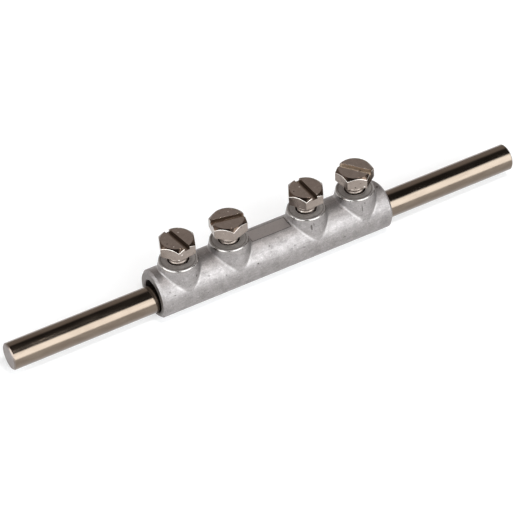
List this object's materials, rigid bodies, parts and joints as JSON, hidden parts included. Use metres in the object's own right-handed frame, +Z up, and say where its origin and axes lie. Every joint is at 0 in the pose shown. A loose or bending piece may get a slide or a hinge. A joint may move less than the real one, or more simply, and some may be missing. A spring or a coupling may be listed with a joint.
{
  "type": "rod connecting sleeve",
  "caption": "Cast aluminium connecting sleeve with drafted bosses and slotted hexagon clamp screws, joining two round conductor rods end to end.",
  "frame": {"origin": "on the axis of the sleeve's bore, half way between its end faces", "axes": "+X along the bore towards the right rod, +Z up along the bosses and screws, +Y to the far side"},
  "size_m": [0.1635, 0.0144, 0.0239],
  "materials": {
    "cast_aluminium": "satin, as cast and tumbled",
    "screw_steel": "plain stainless steel",
    "rod_steel": "smooth drawn stainless steel"
  },
  "bodies": {
    "sleeve": {"sleeve": "cast_aluminium"},
    "clamp_screw_1": {"clamp_screw_1": "screw_steel"},
    "clamp_screw_2": {"clamp_screw_2": "screw_steel"},
    "clamp_screw_3": {"clamp_screw_3": "screw_steel"},
    "clamp_screw_4": {"clamp_screw_4": "screw_steel"},
    "left_rod": {"left_rod": "rod_steel"},
    "right_rod": {"right_rod": "rod_steel"}
  },
  "joints": [
    {"name": "screw_1_travel", "type": "slide", "parent": "sleeve", "child": "clamp_screw_1", "axis": [0, 0, 1], "range_m": [0, 0.006]},
    {"name": "screw_2_travel", "type": "slide", "parent": "sleeve", "child": "clamp_screw_2", "axis": [0, 0, 1], "range_m": [0, 0.006]},
    {"name": "screw_3_travel", "type": "slide", "parent": "sleeve", "child": "clamp_screw_3", "axis": [0, 0, 1], "range_m": [0, 0.006]},
    {"name": "screw_4_travel", "type": "slide", "parent": "sleeve", "child": "clamp_screw_4", "axis": [0, 0, 1], "range_m": [0, 0.006]},
    {"name": "left_rod_slide", "type": "slide", "parent": "sleeve", "child": "left_rod", "axis": [-1, 0, 0], "range_m": [0, 0.034]},
    {"name": "right_rod_slide", "type": "slide", "parent": "sleeve", "child": "right_rod", "axis": [1, 0, 0], "range_m": [0, 0.034]}
  ]
}
